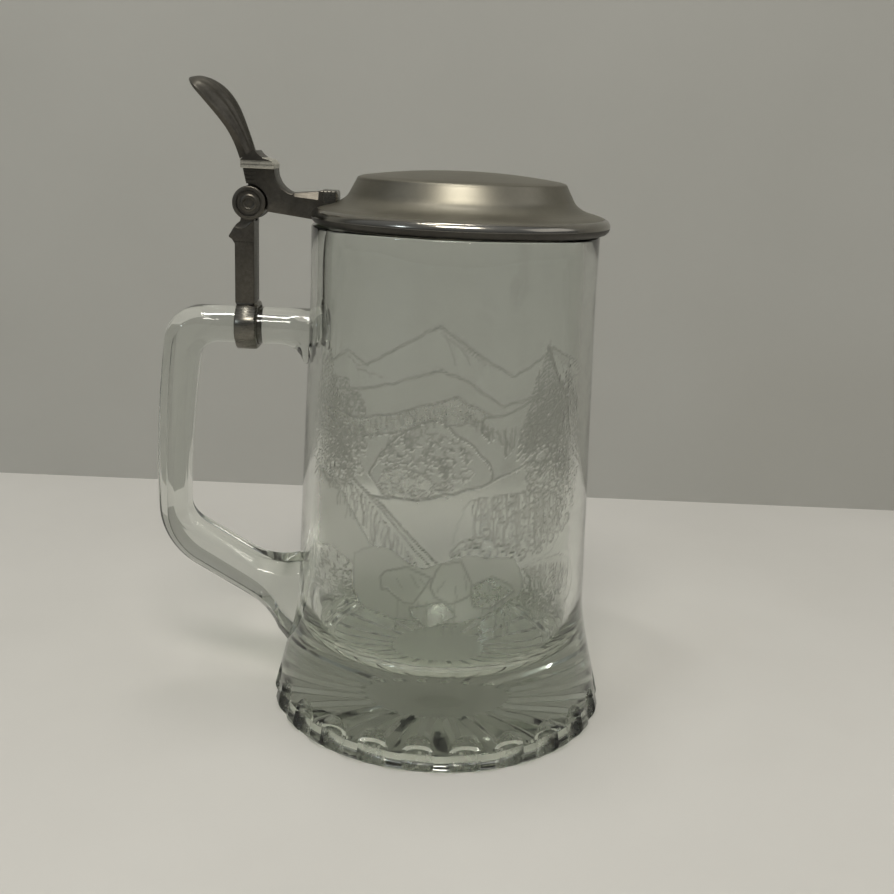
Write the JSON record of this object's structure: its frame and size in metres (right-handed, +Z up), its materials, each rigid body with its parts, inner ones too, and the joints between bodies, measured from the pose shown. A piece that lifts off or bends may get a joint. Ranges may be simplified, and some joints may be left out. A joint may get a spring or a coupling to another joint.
{
  "type": "lidded beer stein",
  "caption": "Clear glass stein with a flared fluted base, an applied chamfered handle and a hinged pewter lid that a thumblift opens.",
  "frame": {"origin": "centre of the resting plane under the glass base", "axes": "+Z up along the glass body's axis; the handle is on the -X side; the lid's hinge pin runs along Y, so the front of the stein faces -Y"},
  "size_m": [0.1403, 0.104, 0.1885],
  "materials": {
    "clear_glass": "clear pressed glass, etched on the wall",
    "pewter": "satin pewter",
    "dark_pewter": "oxidised satin pewter",
    "steel": "drawn steel wire",
    "fibre": "pressed fibre strip"
  },
  "bodies": {
    "mug": {"glass_body": "clear_glass", "glass_handle": "clear_glass", "band_liner": "fibre", "handle_band": "pewter", "hinge_post": "dark_pewter", "hinge_pin": "steel", "hinge_cap_front": "dark_pewter", "hinge_cap_rear": "dark_pewter"},
    "lid": {"lid": "pewter", "lid_arm": "dark_pewter", "thumblift": "pewter"}
  },
  "joints": [
    {"name": "lid_hinge", "type": "hinge", "parent": "mug", "child": "lid", "pos_m": [-0.0596, 0, 0.1534], "axis": [0, -1, 0], "range_deg": [0, 115]}
  ]
}
